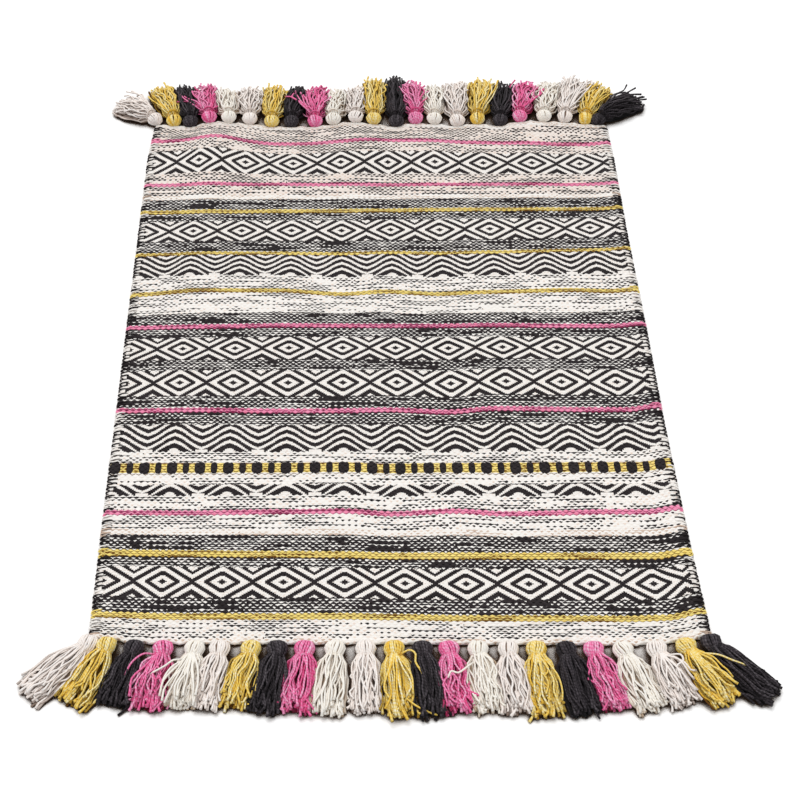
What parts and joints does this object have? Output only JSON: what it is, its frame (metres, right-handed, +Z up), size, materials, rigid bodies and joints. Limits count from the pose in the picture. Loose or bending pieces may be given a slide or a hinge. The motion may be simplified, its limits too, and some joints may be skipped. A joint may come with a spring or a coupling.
{
  "type": "kilim rug",
  "caption": "Small flat-woven cotton kilim rug with diamond, zigzag and striped bands and a row of full yarn tassels along each short end, lying flat.",
  "frame": {"origin": "on the floor, under the middle of the rug's outline, tassels included", "axes": "+X across the width, +Y along the length towards the far end, +Z up from the floor"},
  "size_m": [0.748, 0.9262, 0.0226],
  "materials": {
    "woven_cloth": "matt flat-woven cotton in cream, black, pink and mustard",
    "grey_yarn": "matt plied cotton yarn, grey",
    "mustard_yarn": "matt plied cotton yarn, mustard",
    "black_yarn": "matt plied cotton yarn, black",
    "pink_yarn": "matt plied cotton yarn, pink",
    "cream_yarn": "matt plied cotton yarn, cream"
  },
  "bodies": {
    "root": {"rug_cloth": "woven_cloth", "tassel_near_01_grey": "grey_yarn", "tassel_near_02_mustard": "mustard_yarn", "tassel_near_03_black": "black_yarn", "tassel_near_04_pink": "pink_yarn", "tassel_near_05_cream": "cream_yarn", "tassel_near_06_grey": "grey_yarn", "tassel_near_07_mustard": "mustard_yarn", "tassel_near_08_black": "black_yarn", "tassel_near_09_pink": "pink_yarn", "tassel_near_10_cream": "cream_yarn", "tassel_near_11_grey": "grey_yarn", "tassel_near_12_mustard": "mustard_yarn", "tassel_near_13_black": "black_yarn", "tassel_near_14_pink": "pink_yarn", "tassel_near_15_cream": "cream_yarn", "tassel_near_16_grey": "grey_yarn", "tassel_near_17_mustard": "mustard_yarn", "tassel_near_18_black": "black_yarn", "tassel_near_19_pink": "pink_yarn", "tassel_near_20_cream": "cream_yarn", "tassel_near_21_grey": "grey_yarn", "tassel_near_22_mustard": "mustard_yarn", "tassel_near_23_black": "black_yarn", "tassel_far_01_grey": "grey_yarn", "tassel_far_02_mustard": "mustard_yarn", "tassel_far_03_black": "black_yarn", "tassel_far_04_pink": "pink_yarn", "tassel_far_05_cream": "cream_yarn", "tassel_far_06_grey": "grey_yarn", "tassel_far_07_mustard": "mustard_yarn", "tassel_far_08_black": "black_yarn", "tassel_far_09_pink": "pink_yarn", "tassel_far_10_cream": "cream_yarn", "tassel_far_11_grey": "grey_yarn", "tassel_far_12_mustard": "mustard_yarn", "tassel_far_13_black": "black_yarn", "tassel_far_14_pink": "pink_yarn", "tassel_far_15_cream": "cream_yarn", "tassel_far_16_grey": "grey_yarn", "tassel_far_17_mustard": "mustard_yarn", "tassel_far_18_black": "black_yarn", "tassel_far_19_pink": "pink_yarn", "tassel_far_20_cream": "cream_yarn", "tassel_far_21_grey": "grey_yarn", "tassel_far_22_mustard": "mustard_yarn", "tassel_far_23_black": "black_yarn"}
  },
  "joints": []
}
